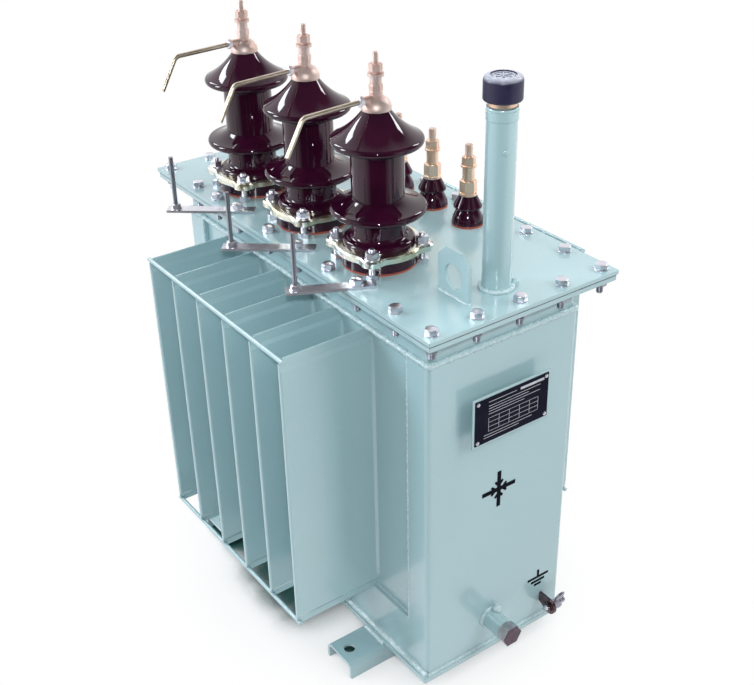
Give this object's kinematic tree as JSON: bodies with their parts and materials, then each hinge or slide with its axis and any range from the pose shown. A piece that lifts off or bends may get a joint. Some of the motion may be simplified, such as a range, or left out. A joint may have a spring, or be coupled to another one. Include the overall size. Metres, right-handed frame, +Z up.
{
  "type": "power transformer",
  "caption": "Oil-filled distribution transformer: painted steel tank with finned sides, brown porcelain bushings with spark-gap horns, filler pipe and channel feet.",
  "frame": {"origin": "on the ground under the middle of the tank and of the four foot holes", "axes": "+X along the tank towards the end with the rating plate and drain, -Y towards the side of the high-voltage bushings, +Z up"},
  "size_m": [0.7965, 0.586, 1.004],
  "materials": {
    "tank_paint": "gloss",
    "porcelain": "gloss",
    "brass": "satin",
    "yellow_zinc": "satin",
    "bright_zinc": "satin",
    "gasket": "matte",
    "black_cap": "matte",
    "plate_black": "satin",
    "bare_steel": "worn"
  },
  "bodies": {
    "root": {"bottom_plate": "tank_paint", "cover_gasket": "gasket", "cover_plate": "tank_paint", "drain_plug": "bare_steel", "drain_stub": "tank_paint", "earth_terminal": "bare_steel", "filler_cap": "black_cap", "filler_neck_ring": "brass", "filler_pipe": "tank_paint", "front_fin_rods": "tank_paint", "front_fins": "tank_paint", "front_flange": "tank_paint", "front_side_wall": "tank_paint", "hv_bushing_1": "porcelain", "hv_bushing_2": "porcelain", "hv_bushing_3": "porcelain", "hv_clamp_ring_1": "yellow_zinc", "hv_clamp_ring_2": "yellow_zinc", "hv_clamp_ring_3": "yellow_zinc", "hv_terminal_1": "brass", "hv_terminal_2": "brass", "hv_terminal_3": "brass", "left_end_wall": "tank_paint", "left_flange": "tank_paint", "left_foot": "tank_paint", "left_lifting_lug": "tank_paint", "lower_horn_1": "bright_zinc", "lower_horn_2": "bright_zinc", "lower_horn_3": "bright_zinc", "lv_bushings": "porcelain", "lv_terminals": "brass", "plate_bracket": "tank_paint", "rating_plate": "plate_black", "rear_fin_rods": "tank_paint", "rear_fins": "tank_paint", "rear_flange": "tank_paint", "rear_side_wall": "tank_paint", "right_end_wall": "tank_paint", "right_flange": "tank_paint", "right_foot": "tank_paint", "right_lifting_lug": "tank_paint", "upper_horn_1": "yellow_zinc", "upper_horn_2": "yellow_zinc", "upper_horn_3": "yellow_zinc"}
  },
  "joints": []
}
